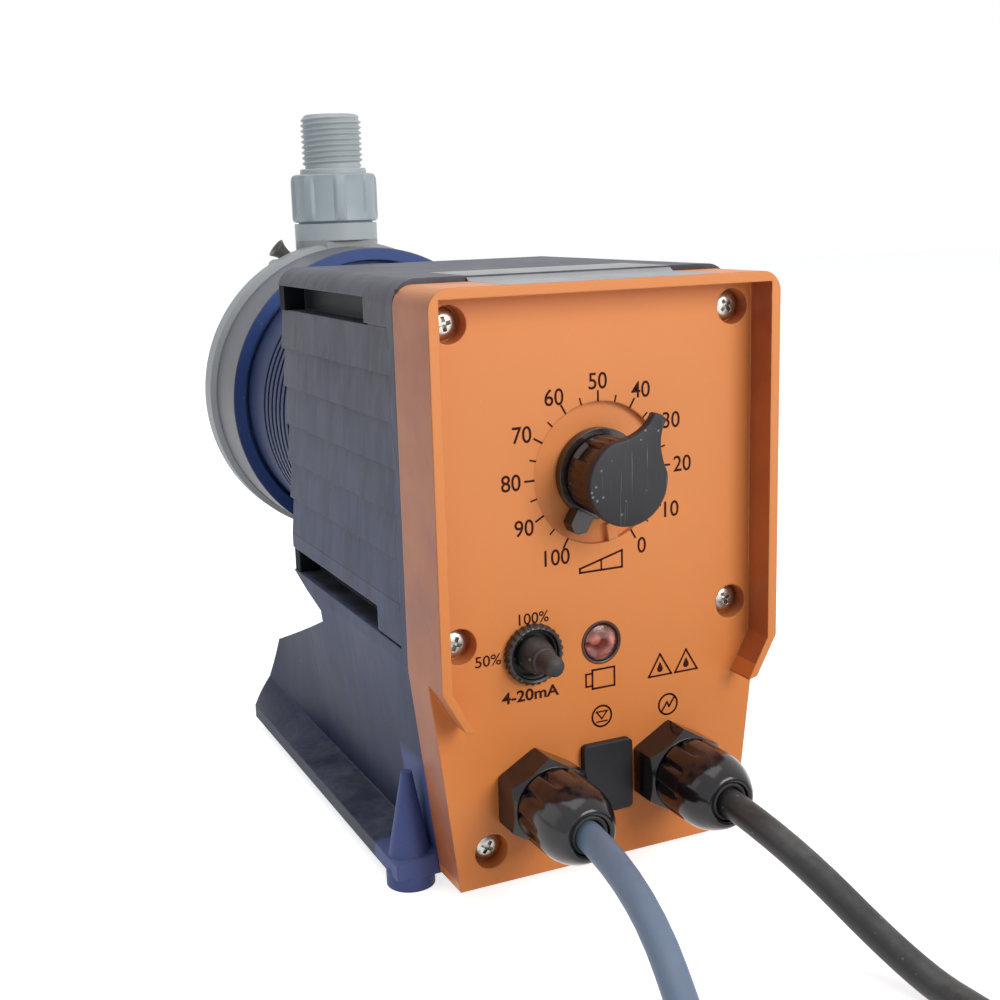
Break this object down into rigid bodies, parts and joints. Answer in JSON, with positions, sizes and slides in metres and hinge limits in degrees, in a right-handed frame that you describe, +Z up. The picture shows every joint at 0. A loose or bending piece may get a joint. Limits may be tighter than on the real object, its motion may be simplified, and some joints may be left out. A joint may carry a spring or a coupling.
{
  "type": "diaphragm metering pump",
  "caption": "Solenoid-driven diaphragm metering pump with a stroke dial and mode switch on its front cover, and a round dosing head with ball valves at the back.",
  "frame": {"origin": "on the floor, in the middle of the pump's length and width, under the housing's rear wall", "axes": "X to the right of somebody who reads the dial, Y from the dial to the dosing head, Z up"},
  "size_m": [0.1681, 0.3983, 0.1998],
  "materials": {
    "housing_blue": "moulded dark blue plastic, satin",
    "cover_orange": "moulded orange plastic, satin",
    "gasket_black": "soft black seal",
    "screw_steel": "bright zinc-plated steel",
    "knob_black": "worn black plastic",
    "boot_rubber": "black rubber",
    "nut_black": "glossy black nylon",
    "lens_red": "clear red lens",
    "brass": "turned brass",
    "board_green": "lacquered board",
    "magnet_iron": "soft iron",
    "copper": "enamelled winding",
    "steel": "ground steel",
    "adapter_blue": "moulded dark blue plastic",
    "plate_blue": "moulded blue plastic",
    "diaphragm_white": "coated rubber",
    "head_grey": "moulded light grey plastic",
    "ball_ceramic": "polished ceramic",
    "seal_black": "black rubber",
    "cable_grey": "grey cable sheath",
    "cable_black": "black cable sheath",
    "core_mixed": "insulated wires"
  },
  "bodies": {
    "frame": {"housing": "housing_blue", "front_cover": "cover_orange", "cover_gasket": "gasket_black", "cover_screws": "screw_steel", "spindle_bush": "brass", "toggle_switch_body": "nut_black", "toggle_ring_nut": "nut_black", "led_lens": "lens_red", "blanking_cap": "boot_rubber", "option_socket": "nut_black", "control_gland_body": "nut_black", "control_gland_nut": "nut_black", "control_gland_locknut": "nut_black", "mains_gland_body": "nut_black", "mains_gland_nut": "nut_black", "mains_gland_locknut": "nut_black", "circuit_board": "board_green", "magnet_yoke": "magnet_iron", "yoke_plate": "magnet_iron", "solenoid_coil": "copper", "rod_bush": "brass", "return_spring": "steel", "drive_adapter": "adapter_blue", "adapter_screws": "screw_steel", "head_plate": "plate_blue", "diaphragm": "diaphragm_white", "dosing_head": "head_grey", "head_screws": "screw_steel", "discharge_valve_body": "head_grey", "discharge_valve_seat": "head_grey", "discharge_oring": "seal_black", "discharge_nipple": "head_grey", "discharge_union_nut": "head_grey", "suction_valve_body": "head_grey", "suction_valve_seat": "head_grey", "suction_oring": "seal_black", "suction_nipple": "head_grey", "suction_union_nut": "head_grey", "bleed_nozzle": "head_grey", "mains_cable": "cable_black", "mains_cable_coil": "cable_black", "mains_core_ends": "core_mixed", "control_cable": "cable_grey", "control_cable_coil": "cable_grey", "control_core_ends": "core_mixed"},
    "knob": {"stroke_knob": "knob_black", "knob_pointer_ring": "knob_black", "stroke_spindle": "steel"},
    "toggle": {"toggle_lever": "steel", "toggle_boot": "boot_rubber"},
    "drive": {"armature": "steel", "push_rod": "steel", "diaphragm_core": "steel"},
    "discharge_ball_body": {"discharge_ball": "ball_ceramic"},
    "suction_ball_body": {"suction_ball": "ball_ceramic"},
    "bleed": {"bleed_knob": "head_grey"}
  },
  "joints": [
    {"name": "stroke_dial", "type": "hinge", "parent": "frame", "child": "knob", "pos_m": [0, -0.089, 0.1042], "axis": [0, 1, 0], "range_deg": [0, 300]},
    {"name": "mode_toggle", "type": "hinge", "parent": "frame", "child": "toggle", "pos_m": [-0.019, -0.087, 0.0622], "axis": [1, 0, 0], "range_deg": [-12, 12]},
    {"name": "drive_stroke", "type": "slide", "parent": "frame", "child": "drive", "axis": [0, 1, 0], "range_m": [0, 0.00125], "stiffness_N_per_m": 1500, "springref_m": -0.002, "deforming": ["return_spring"]},
    {"name": "discharge_ball_lift", "type": "slide", "parent": "frame", "child": "discharge_ball_body", "axis": [0, 0, 1], "range_m": [0, 0.0015]},
    {"name": "suction_ball_lift", "type": "slide", "parent": "frame", "child": "suction_ball_body", "axis": [0, 0, 1], "range_m": [0, 0.0015]},
    {"name": "bleed_turn", "type": "hinge", "parent": "frame", "child": "bleed", "pos_m": [0, 0.1135, 0.136], "axis": [0, -1, 0], "range_deg": [0, 90]}
  ]
}
